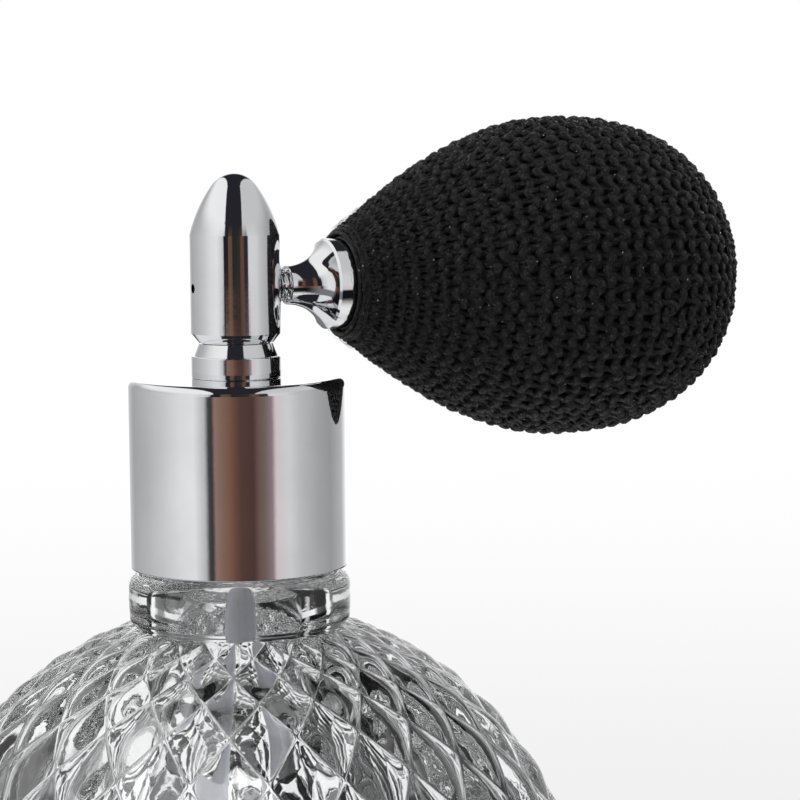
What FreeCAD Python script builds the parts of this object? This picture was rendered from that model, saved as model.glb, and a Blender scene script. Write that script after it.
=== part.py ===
import FreeCAD, Part
import math
import os

import Sketcher
from FreeCAD import Placement, Rotation, Vector

# Bulb perfume atomiser, in millimetres. +Z is up and is the axis of the bottle, the origin is the
# centre of the foot, and the bulb points along +X. Turned parts on the bulb's own axis are drawn
# about their local Z and laid along X by their Placement.

os.makedirs("parts", exist_ok=True)
doc = FreeCAD.newDocument("perfume_atomiser")

SIZES = {
    # glass bottle
    "ball_radius": 41.7,
    "ball_centre_z": 33.0,
    "foot_rounding": 1.2,
    "cavity_radius": 33.0,
    "cavity_floor_z": 7.0,
    "cavity_rounding": 3.0,
    "ring_radius": 13.15,
    "ring_bottom_z": 73.0,
    "ring_top_z": 79.1,
    "ring_shoulder": 1.6,
    "ring_heel": 0.6,
    "neck_radius": 10.3,
    "neck_bore_radius": 7.3,
    "rim_z": 96.5,
    "rim_rounding": 0.7,
    # collar
    "collar_radius": 12.85,
    "collar_bottom_z": 79.65,
    "collar_top_z": 102.05,
    "collar_wall": 0.6,
    "collar_rounding": 1.05,
    "collar_lip": 0.25,
    "insert_bottom_z": 80.3,
    "insert_plate": 3.3,
    "insert_bore_radius": 10.4,
    "insert_gap": 0.05,
    "gasket_inner_radius": 7.5,
    "gasket_outer_radius": 10.2,
    "gasket_thickness": 1.5,
    # head base and what clamps it
    "shank_radius": 4.0,
    "shank_bottom_z": 93.8,
    "running_gap": 0.05,
    "base_ring_radius": 5.34,
    "base_ring_top_z": 104.65,
    "flare_radius": 4.98,
    "waist_radius": 4.4,
    "waist_z": 106.1,
    "base_bore_radius": 2.6,
    "washer_radius": 6.8,
    "washer_thickness": 0.6,
    "nut_circumradius": 6.3,
    "nut_height": 3.2,
    # spray head
    "head_radius": 5.35,
    "head_lip_radius": 4.45,
    "head_lip_z": 106.2,
    "head_chamfer_z": 107.3,
    "head_crease_z": 118.85,
    "nose_side_radius": 17.0,
    "nose_shoulder_radius": 2.69,
    "nose_tip_radius": 3.28,
    "head_top_z": 126.0,
    "head_bore_radius": 4.0,
    "head_bore_top_z": 119.6,
    "head_bore_point_z": 121.9,
    "spray_hole_radius": 0.55,
    # core of the head
    "core_radius": 3.95,
    "core_bottom_z": 106.4,
    "core_top_z": 119.0,
    "spigot_radius": 2.55,
    "spigot_bottom_z": 91.8,
    "nipple_radius": 1.2,
    "nipple_bottom_z": 86.8,
    "liquid_bore_radius": 0.6,
    "jet_bore_radius": 0.4,
    "vent_radius": 0.3,
    "vent_offset": 1.25,
    "seal_groove_radius": 1.88,
    "seal_groove_z": 99.6,
    "seal_groove_width": 0.8,
    "seal_section_radius": 0.33,
    "clip_bottom_z": 93.1,
    "clip_thickness": 0.5,
    "clip_inner_radius": 1.95,
    "clip_outer_radius": 3.6,
    "clip_mouth": 2.6,
    "nozzle_radius": 1.65,
    "nozzle_back": 2.3,
    "nozzle_front": 3.45,
    "nozzle_cup_depth": 0.7,
    "nozzle_orifice_radius": 0.2,
    "jet_radius": 0.38,
    "jet_tip": 3.0,
    "jet_foot": 0.8,
    "bush_radius": 2.5,
    "bush_inner": 1.45,
    "bush_outer": 3.0,
    # dip tube
    "tube_radius": 1.75,
    "tube_bore_radius": 1.25,
    "tube_bottom_z": 9.5,
    "tube_top_z": 91.1,
    "tube_cut_angle": 35.0,
    # bulb connection, positions along the bulb's axis
    "bulb_axis_z": 112.63,
    "connector_radius": 2.0,
    "connector_bore_radius": 0.9,
    "connector_start": 1.5,
    "connector_end": 12.9,
    "face_seal_start": 1.0,
    "face_seal_radius": 1.9,
    "ferrule_start": 6.45,
    "ferrule_nose_radius": 2.3,
    "ferrule_flare_radius": 5.3,
    "ferrule_rim_start": 11.15,
    "ferrule_radius": 5.39,
    "ferrule_end": 13.32,
    "ferrule_cup_start": 11.75,
    "ferrule_cup_radius": 4.85,
    "ferrule_rounding": 0.25,
    "plug_radius": 3.0,
    "plug_start": 11.8,
    "plug_end": 18.0,
    "plug_barb_radius": 3.5,
    "plug_barb_start": 16.7,
    "valve_chamber_radius": 1.9,
    "valve_port_radius": 0.8,
    "valve_disc_radius": 1.6,
    "valve_disc_thickness": 0.5,
    "outlet_chamber_start": 14.2,
    "outlet_seat_start": 16.8,
    "intake_flange_radius": 4.0,
    "intake_flange_start": 59.2,
    "intake_flange_end": 60.3,
    "intake_body_radius": 2.6,
    "intake_seat": 61.6,
    "intake_end": 62.9,
    "intake_cage_end": 60.0,
    # bulb and its knitted cover
    "bulb_crown": 44.5,
    "cover_start": 12.57,
    "cover_start_radius": 5.8,
    "cover_inner_start_radius": 5.46,
    "cover_radius": 19.6,
    "cover_tail": 64.2,
    "cover_thickness": 1.1,
    "rubber_start": 13.45,
    "rubber_neck_radius": 4.75,
    "rubber_shoulder_radius": 5.6,
    "rubber_gap": 0.1,
    "rubber_wall": 1.6,
    "rubber_tail_wall": 2.2,
    "rubber_root": 16.0,
    "egg_front_power": 0.84,
    "egg_point_crowding": 1.6,
    "egg_tail_power": 2.35,
}

sheet = doc.addObject("Spreadsheet::Sheet", "sizes")
for row, (alias, number) in enumerate(SIZES.items(), start=1):
    sheet.set(f"A{row}", alias)
    sheet.set(f"B{row}", str(number))
    sheet.setAlias(f"B{row}", alias)
doc.recompute()


class Size:
    """A number together with the sheet expression that gives it."""

    def __init__(self, value, text):
        self.value = value
        self.text = text

    def __add__(self, other):
        other = as_size(other)
        return Size(self.value + other.value, f"({self.text} + {other.text})")

    def __sub__(self, other):
        other = as_size(other)
        return Size(self.value - other.value, f"({self.text} - {other.text})")

    def __mul__(self, factor):
        return Size(self.value * factor, f"({self.text} * {factor})")


def as_size(value):
    """A plain number becomes a Size that needs no cell."""
    if isinstance(value, Size):
        return value
    return Size(float(value), str(float(value)))


def cell(alias):
    """The size held in a cell of the sheet."""
    return Size(SIZES[alias], f"sizes.{alias}")


def chord(radius, offset):
    """Half the chord of a circle, at a distance from its centre."""
    value = math.sqrt(radius.value**2 - offset.value**2)
    return Size(value, f"sqrt(({radius.text})^2 - ({offset.text})^2)")


def sketch_on(body, plane_role, name):
    """A sketch on one of the body's own origin planes."""
    sketch = body.newObject("Sketcher::SketchObject", name)
    plane = next(feature for feature in body.Origin.OriginFeatures if feature.Role == plane_role)
    sketch.AttachmentSupport = [(plane, "")]
    sketch.MapMode = "FlatFace"
    return sketch


def arc_between(start, end, radius):
    """The minor arc from start to end; a positive radius turns anticlockwise."""
    half = (end - start) * 0.5
    left = Vector(-half.y, half.x, 0).normalize()
    rise = math.sqrt(radius**2 - half.Length**2)
    centre = start + half + left * math.copysign(rise, radius)
    first, last = (start, end) if radius > 0 else (end, start)
    first_angle = math.atan2(first.y - centre.y, first.x - centre.x)
    last_angle = math.atan2(last.y - centre.y, last.x - centre.x)
    if last_angle < first_angle:
        last_angle += 2 * math.pi
    circle = Part.Circle(centre, Vector(0, 0, 1), abs(radius))
    return Part.ArcOfCircle(circle, first_angle, last_angle)


def bind(sketch, constraint, size):
    """Add a driving constraint whose value comes from the sheet."""
    index = sketch.addConstraint(constraint)
    sketch.setExpression(f"Constraints[{index}]", size.text)


def draw_outline(sketch, outline):
    """Draw a closed outline of (radius, height) corners, each bound to the sheet.

    A third entry in a corner is the radius of the arc to the next corner, with the side that it
    turns to, 1 for anticlockwise or -1 for clockwise, as the fourth. An arc centred on the turning
    axis is held by its centre, which keeps it exactly round there.
    """
    corners = [(as_size(corner[0]), as_size(corner[1])) for corner in outline]
    points = [Vector(radius.value, height.value, 0) for radius, height in corners]
    edges = []
    for index, corner in enumerate(outline):
        start, end = points[index], points[(index + 1) % len(points)]
        if len(corner) == 4:
            side = corner[3]
            arc = arc_between(start, end, side * corner[2].value)
            edge = sketch.addGeometry(arc)
            if abs(arc.Center.x) < 0.00001:
                sketch.addConstraint(Sketcher.Constraint("PointOnObject", edge, 3, -2))
            else:
                bind(sketch, Sketcher.Constraint("Radius", edge, corner[2].value), corner[2])
            edges.append((edge, 1, 2) if side > 0 else (edge, 2, 1))
        else:
            edges.append((sketch.addGeometry(Part.LineSegment(start, end)), 1, 2))
    for index, (edge, start_end, _) in enumerate(edges):
        previous, _, previous_end = edges[index - 1]
        sketch.addConstraint(Sketcher.Constraint("Coincident", previous, previous_end, edge, start_end))
        for kind, axis, size in zip(("DistanceX", "DistanceY"), (-2, -1), corners[index]):
            if size.value == 0:
                sketch.addConstraint(Sketcher.Constraint("PointOnObject", edge, start_end, axis))
            else:
                bind(sketch, Sketcher.Constraint(kind, -1, 1, edge, start_end, size.value), size)


def turned_part(label, outline):
    """A body turned about its own Z from a closed half outline."""
    body = doc.addObject("PartDesign::Body", label)
    sketch = sketch_on(body, "XZ_Plane", label + "_outline")
    draw_outline(sketch, outline)
    turn = body.newObject("PartDesign::Revolution", label + "_turn")
    turn.Profile = (sketch, [""])
    turn.ReferenceAxis = (sketch, ["V_Axis"])
    turn.Angle = 360
    doc.recompute()
    return body


def tube_outline(inner, outer, bottom, top):
    """The half outline of a plain ring or tube."""
    return [(inner, bottom), (outer, bottom), (outer, top), (inner, top)]


def drill(body, name, radius, length, base, direction):
    """Cut a straight round bore that starts at base and runs along direction."""
    before = body.Shape.Volume
    bore = body.newObject("PartDesign::SubtractiveCylinder", name)
    bore.setExpression("Radius", radius.text)
    bore.setExpression("Height", length.text)
    bore.Placement = Placement(Vector(), Rotation(Vector(0, 0, 1), direction))
    for axis, size in zip("xyz", base):
        bore.setExpression(f"Placement.Base.{axis}", as_size(size).text)
    doc.recompute()
    if body.Shape.Volume >= before:
        raise RuntimeError(name + " cuts nothing")


def round_rings(body, name, radius, rings):
    """Fillet the round edges of a turned body, each named by its radius and height."""
    tip = body.Tip
    edges = []
    for index, edge in enumerate(tip.Shape.Edges, start=1):
        curve = edge.Curve
        if not isinstance(curve, Part.Circle):
            continue
        for ring_radius, height in rings:
            near_radius = abs(curve.Radius - as_size(ring_radius).value) < 0.001
            near_height = abs(curve.Center.z - as_size(height).value) < 0.001
            if near_radius and near_height:
                edges.append(f"Edge{index}")
    if len(edges) != len(rings):
        raise RuntimeError(f"{name} found {len(edges)} of {len(rings)} edges")
    fillet = body.newObject("PartDesign::Fillet", name)
    fillet.Base = (tip, edges)
    fillet.setExpression("Radius", radius.text)
    doc.recompute()


def lay_along_bulb(part):
    """Lay a part drawn about its own Z along the bulb's axis."""
    part.Placement = Placement(Vector(), Rotation(Vector(0, 0, 1), Vector(1, 0, 0)))
    part.setExpression("Placement.Base.z", "sizes.bulb_axis_z")


def primitive(kind, name, **sizes):
    """A Part primitive with every size bound to the sheet."""
    shape = doc.addObject(kind, name)
    for prop, size in sizes.items():
        shape.setExpression(prop, size.text)
    return shape


def cut(label, base, tool):
    """Part::Cut of two objects, under a label."""
    result = doc.addObject("Part::Cut", label)
    result.Base = base
    result.Tool = tool
    return result


def at_height(part, height):
    """Bind the height of a part's Placement to the sheet."""
    part.setExpression("Placement.Base.z", height.text)


ALONG_BULB = Vector(1, 0, 0)
TOWARDS_SPRAY = Vector(-1, 0, 0)
UP = Vector(0, 0, 1)


# ---- glass bottle: a ball cut flat at the foot, with a plain ring and a neck for the closure


def make_glass_bottle():
    ball, centre = cell("ball_radius"), cell("ball_centre_z")
    ring, bore, cavity = cell("ring_radius"), cell("neck_bore_radius"), cell("cavity_radius")
    ring_bottom, ring_top = cell("ring_bottom_z"), cell("ring_top_z")
    neck, rim, floor = cell("neck_radius"), cell("rim_z"), cell("cavity_floor_z")
    foot = chord(ball, centre)
    cavity_top = chord(cavity, bore) + centre
    floor_radius = chord(cavity, centre - floor)
    body = turned_part("glass_bottle", [
        (0, 0),
        (foot, 0, ball, 1),
        (chord(ball, ring_bottom - centre), ring_bottom),
        (ring, ring_bottom),
        (ring, ring_top),
        (neck, ring_top),
        (neck, rim),
        (bore, rim),
        (bore, cavity_top, cavity, -1),
        (floor_radius, floor),
        (0, floor),
    ])
    round_rings(body, "ring_shoulder", cell("ring_shoulder"), [(ring, ring_top)])
    round_rings(body, "ring_heel", cell("ring_heel"), [(ring, ring_bottom)])
    round_rings(body, "rim_rounding", cell("rim_rounding"), [(neck, rim), (bore, rim)])
    round_rings(body, "cavity_rounding", cell("cavity_rounding"), [(bore, cavity_top), (floor_radius, floor)])
    round_rings(body, "foot_rounding", cell("foot_rounding"), [(foot, 0)])


# ---- collar: drawn metal shell, moulded closure and flat gasket


def make_collar():
    outer, wall = cell("collar_radius"), cell("collar_wall")
    bottom, top = cell("collar_bottom_z"), cell("collar_top_z")
    hole = cell("shank_radius") + cell("running_gap")
    inner = outer - wall
    ceiling = top - wall
    shell = turned_part("collar_shell", [
        (hole, ceiling),
        (inner, ceiling),
        (inner, bottom),
        (outer, bottom),
        (outer, top),
        (hole, top),
    ])
    round_rings(shell, "collar_edge", cell("collar_rounding"), [(outer, top)])
    round_rings(shell, "collar_inner_edge", cell("collar_rounding") - wall, [(inner, ceiling)])
    round_rings(shell, "collar_lip", cell("collar_lip"), [(outer, bottom), (inner, bottom)])

    insert_radius = inner - cell("insert_gap")
    insert_top = ceiling - cell("insert_gap")
    insert_bottom = cell("insert_bottom_z")
    plate = insert_top - cell("insert_plate")
    thread = cell("insert_bore_radius")
    insert = turned_part("collar_insert", [
        (hole, plate),
        (thread, plate),
        (thread, insert_bottom),
        (insert_radius, insert_bottom),
        (insert_radius, insert_top),
        (hole, insert_top),
    ])
    round_rings(insert, "insert_edge", cell("collar_rounding"), [(insert_radius, insert_top)])

    gasket_bottom = cell("rim_z") + cell("insert_gap")
    gasket_top = gasket_bottom + cell("gasket_thickness")
    inner_radius, outer_radius = cell("gasket_inner_radius"), cell("gasket_outer_radius")
    turned_part("neck_gasket", tube_outline(inner_radius, outer_radius, gasket_bottom, gasket_top))
    return plate


# ---- head base: visible ring and flared waist, with a shank clamped through the collar


def make_head_base(plate):
    shank, bore = cell("shank_radius"), cell("base_bore_radius")
    seat, ring, ring_top = cell("collar_top_z"), cell("base_ring_radius"), cell("base_ring_top_z")
    body = turned_part("head_base", [
        (bore, cell("shank_bottom_z")),
        (shank, cell("shank_bottom_z")),
        (shank, seat),
        (ring, seat),
        (ring, ring_top),
        (cell("flare_radius"), ring_top),
        (cell("waist_radius"), cell("waist_z")),
        (bore, cell("waist_z")),
    ])
    round_rings(body, "base_ring_edge", cell("collar_lip") * 0.6, [(ring, seat), (ring, ring_top)])

    gap = cell("running_gap")
    washer_top = plate - gap
    washer_bottom = washer_top - cell("washer_thickness")
    clearance = shank + gap
    washer_outline = tube_outline(clearance, cell("washer_radius"), washer_bottom, washer_top)
    washer = turned_part("stem_washer", washer_outline)
    round_rings(washer, "washer_edge", gap * 2, [(cell("washer_radius"), washer_bottom)])

    nut_height = cell("nut_height")
    circumradius = cell("nut_circumradius")
    hexagon = primitive("Part::Prism", "nut_blank", Circumradius=circumradius, Height=nut_height)
    hexagon.Polygon = 6
    thread = primitive("Part::Cylinder", "nut_thread", Radius=clearance, Height=nut_height)
    nut = cut("stem_nut", hexagon, thread)
    at_height(nut, washer_bottom - gap - nut_height)


# ---- spray head: bullet shell, moulded core and the small parts pressed into it


def make_head_shell():
    bore, lip, side = cell("head_bore_radius"), cell("head_lip_z"), cell("head_radius")
    tip, shoulder, top = cell("nose_tip_radius"), cell("nose_shoulder_radius"), cell("head_top_z")
    shoulder_z = top - tip + chord(tip, shoulder)
    body = turned_part("head_shell", [
        (bore, lip),
        (cell("head_lip_radius"), lip),
        (side, cell("head_chamfer_z")),
        (side, cell("head_crease_z"), cell("nose_side_radius"), 1),
        (shoulder, shoulder_z, tip, 1),
        (0, top),
        (0, cell("head_bore_point_z")),
        (bore, cell("head_bore_top_z")),
    ])
    axis = cell("bulb_axis_z")
    screw_hole = cell("connector_radius") + cell("running_gap")
    drill(body, "screw_hole", screw_hole, side, (0, 0, axis), ALONG_BULB)
    drill(body, "spray_hole", cell("spray_hole_radius"), side, (0, 0, axis), TOWARDS_SPRAY)


def make_spray_core():
    core, spigot, nipple = cell("core_radius"), cell("spigot_radius"), cell("nipple_radius")
    spigot_bottom, nipple_bottom = cell("spigot_bottom_z"), cell("nipple_bottom_z")
    groove, groove_z = cell("seal_groove_radius"), cell("seal_groove_z")
    groove_top = groove_z + cell("seal_groove_width")
    clip_groove = cell("clip_inner_radius") - cell("running_gap")
    clip_bottom = cell("clip_bottom_z") - cell("running_gap")
    clip_top = clip_bottom + cell("clip_thickness") + cell("running_gap") * 2
    body = turned_part("spray_core", [
        (0, nipple_bottom),
        (nipple, nipple_bottom),
        (nipple, spigot_bottom),
        (spigot, spigot_bottom),
        (spigot, clip_bottom),
        (clip_groove, clip_bottom),
        (clip_groove, clip_top),
        (spigot, clip_top),
        (spigot, groove_z),
        (groove, groove_z),
        (groove, groove_top),
        (spigot, groove_top),
        (spigot, cell("core_bottom_z")),
        (core, cell("core_bottom_z")),
        (core, cell("core_top_z")),
        (0, cell("core_top_z")),
    ])
    axis, gap, vent = cell("bulb_axis_z"), cell("running_gap"), cell("vent_offset")
    nozzle_pocket = core - cell("nozzle_back") + gap
    bush_pocket = core - cell("bush_inner") + gap
    seal_start = cell("face_seal_start") - gap
    drill(body, "liquid_bore", cell("liquid_bore_radius"), axis - nipple_bottom, (0, 0, nipple_bottom), UP)
    drill(body, "jet_bore", cell("jet_bore_radius"), core, (0, 0, axis), TOWARDS_SPRAY)
    nozzle_hole, bush_hole = cell("nozzle_radius") + gap, cell("bush_radius") + gap
    bush_start = cell("bush_inner") - gap
    drill(body, "nozzle_pocket", nozzle_hole, nozzle_pocket, (core * -1, 0, axis), ALONG_BULB)
    drill(body, "bush_pocket", bush_hole, bush_pocket, (bush_start, 0, axis), ALONG_BULB)
    drill(body, "seal_pocket", cell("connector_radius"), core, (seal_start, 0, axis), ALONG_BULB)
    drill(body, "air_passage", cell("vent_radius"), core, (seal_start + gap, vent, axis), TOWARDS_SPRAY)
    drill(body, "bottle_vent", cell("vent_radius"), axis - spigot_bottom, (0, vent, spigot_bottom), UP)


def make_head_fittings():
    spray_side = Placement(Vector(), Rotation(UP, TOWARDS_SPRAY))
    orifice, nozzle = cell("nozzle_orifice_radius"), cell("nozzle_radius")
    back, front = cell("nozzle_back"), cell("nozzle_front")
    cup = back + cell("nozzle_cup_depth")
    cup_radius = nozzle - cell("nozzle_orifice_radius") * 2
    nozzle_insert = turned_part("nozzle_insert", [
        (orifice, cup),
        (cup_radius, cup),
        (cup_radius, back),
        (nozzle, back),
        (nozzle, front),
        (orifice, front),
    ])
    jet_end = cell("jet_tip") - cell("running_gap")
    jet_tube = tube_outline(orifice, cell("jet_radius"), cell("jet_foot"), jet_end)
    liquid_jet = turned_part("liquid_jet", jet_tube)
    for part in (nozzle_insert, liquid_jet):
        part.Placement = spray_side
        at_height(part, cell("bulb_axis_z"))

    thread = cell("connector_radius") + cell("running_gap")
    bush_outline = tube_outline(thread, cell("bush_radius"), cell("bush_inner"), cell("bush_outer"))
    bush = turned_part("thread_bush", bush_outline)
    lay_along_bulb(bush)

    seal_middle = cell("seal_groove_z") + cell("seal_groove_width") * 0.5
    section = cell("seal_section_radius")
    ring_radius = cell("base_bore_radius") - section - cell("running_gap") * 0.4
    ring = primitive("Part::Torus", "stem_o_ring", Radius1=ring_radius, Radius2=section)
    at_height(ring, seal_middle)

    thickness, clip_radius, width = cell("clip_thickness"), cell("clip_outer_radius"), cell("clip_mouth")
    disc = primitive("Part::Cylinder", "clip_disc", Radius=clip_radius, Height=thickness)
    hole = primitive("Part::Cylinder", "clip_hole", Radius=cell("clip_inner_radius"), Height=thickness)
    mouth = primitive("Part::Box", "clip_mouth", Length=clip_radius, Width=width, Height=thickness)
    mouth.setExpression("Placement.Base.y", (width * -0.5).text)
    clip = cut("swivel_clip", cut("clip_ring", disc, hole), mouth)
    at_height(clip, cell("clip_bottom_z"))


def make_dip_tube():
    radius, bottom = cell("tube_radius"), cell("tube_bottom_z")
    outline = tube_outline(cell("tube_bore_radius"), radius, bottom, cell("tube_top_z"))
    body = turned_part("dip_tube", outline)
    before = body.Shape.Volume
    slant = body.newObject("PartDesign::SubtractiveBox", "slant_cut")
    for prop in ("Length", "Width", "Height"):
        slant.setExpression(prop, (radius * 8).text)
    slant.Placement = Placement(Vector(), Rotation(Vector(0, 1, 0), 90 - SIZES["tube_cut_angle"]))
    slant.setExpression("Placement.Rotation.Angle", "90 - sizes.tube_cut_angle")
    slant.setExpression("Placement.Base.x", (radius * -1).text)
    slant.setExpression("Placement.Base.y", (radius * -4).text)
    slant.setExpression("Placement.Base.z", bottom.text)
    doc.recompute()
    if body.Shape.Volume >= before:
        raise RuntimeError("the slant cut of the dip tube cuts nothing")


# ---- bulb connection: hollow screw, trumpet ferrule, barbed plug and the two check valves


def make_bulb_connection():
    gap, screw, bore = cell("running_gap"), cell("connector_radius"), cell("connector_bore_radius")
    start = cell("connector_start")
    connector = turned_part("air_connector", tube_outline(bore, screw, start, cell("connector_end")))
    seal_outline = tube_outline(bore, cell("face_seal_radius"), cell("face_seal_start"), start - gap)
    seal = turned_part("connector_seal", seal_outline)

    thread = screw + gap
    radius, rim, end = cell("ferrule_radius"), cell("ferrule_rim_start"), cell("ferrule_end")
    nose, cup = cell("ferrule_nose_radius"), cell("ferrule_cup_radius")
    cup_start = cell("ferrule_cup_start")
    rounding = cell("ferrule_rounding")
    ferrule = turned_part("bulb_ferrule", [
        (thread, cell("ferrule_start")),
        (nose, cell("ferrule_start"), cell("ferrule_flare_radius"), -1),
        (radius - rounding, rim),
        (radius, rim + rounding),
        (radius, end),
        (cup, end),
        (cup, cup_start),
        (thread, cup_start),
    ])

    plug, plug_end, port = cell("plug_radius"), cell("plug_end"), cell("valve_port_radius")
    chamber, chamber_start = cell("valve_chamber_radius"), cell("outlet_chamber_start")
    barb_start = cell("plug_barb_start")
    bulb_plug = turned_part("bulb_plug", [
        (thread, cell("plug_start")),
        (plug, cell("plug_start")),
        (plug, barb_start),
        (cell("plug_barb_radius"), barb_start),
        (plug, plug_end),
        (chamber, plug_end),
        (chamber, chamber_start),
        (port, chamber_start),
        (port, cell("connector_end") + gap),
        (thread, cell("connector_end") + gap),
    ])

    seat_radius = chamber - gap
    seat_start = cell("outlet_seat_start")
    outlet_seat = turned_part("outlet_valve_seat", tube_outline(port, seat_radius, seat_start, plug_end))
    disc, thickness = cell("valve_disc_radius"), cell("valve_disc_thickness")
    outlet_disc_end = seat_start - gap
    outlet_disc_outline = tube_outline(0, disc, outlet_disc_end - thickness, outlet_disc_end)
    outlet_disc = turned_part("outlet_valve_disc", outlet_disc_outline)

    flange, flange_start = cell("intake_flange_radius"), cell("intake_flange_start")
    valve_seat = cell("intake_seat")
    intake_body = turned_part("intake_valve_body", [
        (chamber, flange_start),
        (flange, flange_start),
        (flange, cell("intake_flange_end")),
        (cell("intake_body_radius"), cell("intake_flange_end")),
        (cell("intake_body_radius"), cell("intake_end")),
        (port, cell("intake_end")),
        (port, valve_seat),
        (chamber, valve_seat),
    ])
    cage_outline = tube_outline(port, seat_radius, flange_start, cell("intake_cage_end"))
    intake_cage = turned_part("intake_valve_cage", cage_outline)
    intake_disc_end = valve_seat - gap
    intake_disc_outline = tube_outline(0, disc, intake_disc_end - thickness, intake_disc_end)
    intake_disc = turned_part("intake_valve_disc", intake_disc_outline)

    head_side = (connector, seal, ferrule, bulb_plug, outlet_seat, outlet_disc)
    tail_side = (intake_body, intake_cage, intake_disc)
    for part in head_side + tail_side:
        lay_along_bulb(part)


# ---- rubber bulb and knitted cover: egg-shaped shells of revolution along the bulb's axis

FRONT_STEPS = 8
TAIL_STEPS = 6
OVERCUT = 1

def egg_curve(start, start_radius, radius, tail):
    """Half outline of the egg, from its neck edge to its tail on the axis.

    In front of the crown the radius grows as a power of a sine; behind it the outline is a
    superellipse, a little blunter than a round end. The front's points crowd towards the neck,
    where the outline turns most.
    """
    crown, front_power = sheet.get("bulb_crown"), sheet.get("egg_front_power")
    tail_power = 2 / sheet.get("egg_tail_power")
    crowding = sheet.get("egg_point_crowding")
    points = []
    for step in range(FRONT_STEPS):
        part = (step / FRONT_STEPS) ** crowding
        rise = math.sin(part * math.pi / 2) ** front_power
        across = start_radius + (radius - start_radius) * rise
        points.append(Vector(across, 0, start + (crown - start) * part))
    for step in range(TAIL_STEPS + 1):
        angle = step / TAIL_STEPS * math.pi / 2
        along = math.sin(angle) ** tail_power
        across = max(math.cos(angle), 0) ** tail_power
        points.append(Vector(radius * across, 0, crown + (tail - crown) * along))
    points[-1] = Vector(0, 0, tail)
    curve = Part.BSplineCurve()
    curve.interpolate(points)
    return curve.toShape()


def add_solid(label, shape):
    """A Part::Feature that holds a ready shape."""
    part = doc.addObject("Part::Feature", label)
    part.Shape = shape
    lay_along_bulb(part)


def turn_wire(edges):
    """The solid turned about Z by a closed chain of edges."""
    face = Part.Face(Part.Wire(edges))
    return face.revolve(Vector(), UP, 360)


def line(start, end):
    """A straight edge between two (radius, height) corners."""
    return Part.LineSegment(Vector(start[0], 0, start[1]), Vector(end[0], 0, end[1])).toShape()


def make_bulb():
    start, tail = sheet.get("cover_start"), sheet.get("cover_tail")
    thickness = sheet.get("cover_thickness")
    outer_start, inner_start = sheet.get("cover_start_radius"), sheet.get("cover_inner_start_radius")
    inner_radius = sheet.get("cover_radius") - thickness
    inner_tail = tail - thickness
    add_solid("knit_cover", turn_wire([
        egg_curve(start, outer_start, sheet.get("cover_radius"), tail),
        line((0, tail), (0, inner_tail)),
        egg_curve(start, inner_start, inner_radius, inner_tail),
        line((inner_start, start), (outer_start, start)),
    ]))

    gap, wall = sheet.get("rubber_gap"), sheet.get("rubber_wall")
    rubber_start, shoulder = sheet.get("rubber_start"), sheet.get("rubber_shoulder_radius")
    rubber_radius, rubber_tail = inner_radius - gap, inner_tail - gap
    neck, plug = sheet.get("rubber_neck_radius"), sheet.get("plug_radius")
    neck_end = sheet.get("plug_start")
    root, tail_inner = sheet.get("rubber_root"), rubber_tail - sheet.get("rubber_tail_wall")
    sleeve = plug + sheet.get("running_gap")
    skin = turn_wire([
        egg_curve(rubber_start, shoulder, rubber_radius, rubber_tail),
        line((0, rubber_tail), (0, rubber_start)),
        line((0, rubber_start), (shoulder, rubber_start)),
    ])
    sleeve_height = rubber_start - neck_end
    skin = skin.fuse(Part.makeCylinder(neck, sleeve_height, Vector(0, 0, neck_end)))
    hollow = turn_wire([
        egg_curve(root, sleeve, rubber_radius - wall, tail_inner),
        line((0, tail_inner), (0, root)),
        line((0, root), (sleeve, root)),
    ])
    neck_bore = Part.makeCylinder(sleeve, root - neck_end + OVERCUT, Vector(0, 0, neck_end))
    tail_hole = sheet.get("intake_body_radius") + sheet.get("running_gap")
    tail_depth = tail - tail_inner + OVERCUT
    tail_bore = Part.makeCylinder(tail_hole, tail_depth, Vector(0, 0, tail_inner - OVERCUT))
    add_solid("rubber_bulb", skin.cut([hollow, neck_bore, tail_bore]))


NODES = (
    "glass_bottle", "neck_gasket", "collar_shell", "collar_insert", "head_base", "stem_washer", "stem_nut",
    "head_shell", "spray_core", "liquid_jet", "nozzle_insert", "thread_bush", "stem_o_ring", "swivel_clip",
    "dip_tube", "connector_seal", "air_connector", "bulb_ferrule", "bulb_plug", "outlet_valve_seat",
    "outlet_valve_disc", "rubber_bulb", "knit_cover", "intake_valve_body", "intake_valve_cage",
    "intake_valve_disc",
)


def export_parts():
    """Check every object, then write one STEP file for each node."""
    doc.recompute()
    for item in doc.Objects:
        if "Invalid" in item.State or "Error" in item.State:
            raise RuntimeError(f"{item.Name} failed: {item.State}")
    for label in NODES:
        found = doc.getObjectsByLabel(label)
        if len(found) != 1:
            raise RuntimeError(f"{len(found)} objects are labelled {label}")
        shape = found[0].Shape
        if shape.isNull() or not shape.isValid() or shape.Volume <= 0:
            raise RuntimeError(label + " has no valid solid")
        shape.exportStep(f"parts/{label}.step")
        print(f"{label}: {len(shape.Solids)} solid, {shape.Volume:.2f} mm3")


make_glass_bottle()
insert_plate_z = make_collar()
make_head_base(insert_plate_z)
make_head_shell()
make_spray_core()
make_head_fittings()
make_dip_tube()
make_bulb_connection()
make_bulb()
export_parts()
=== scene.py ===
import math
import random

import bpy
import numpy as np
from mathutils import Matrix, Vector


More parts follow.
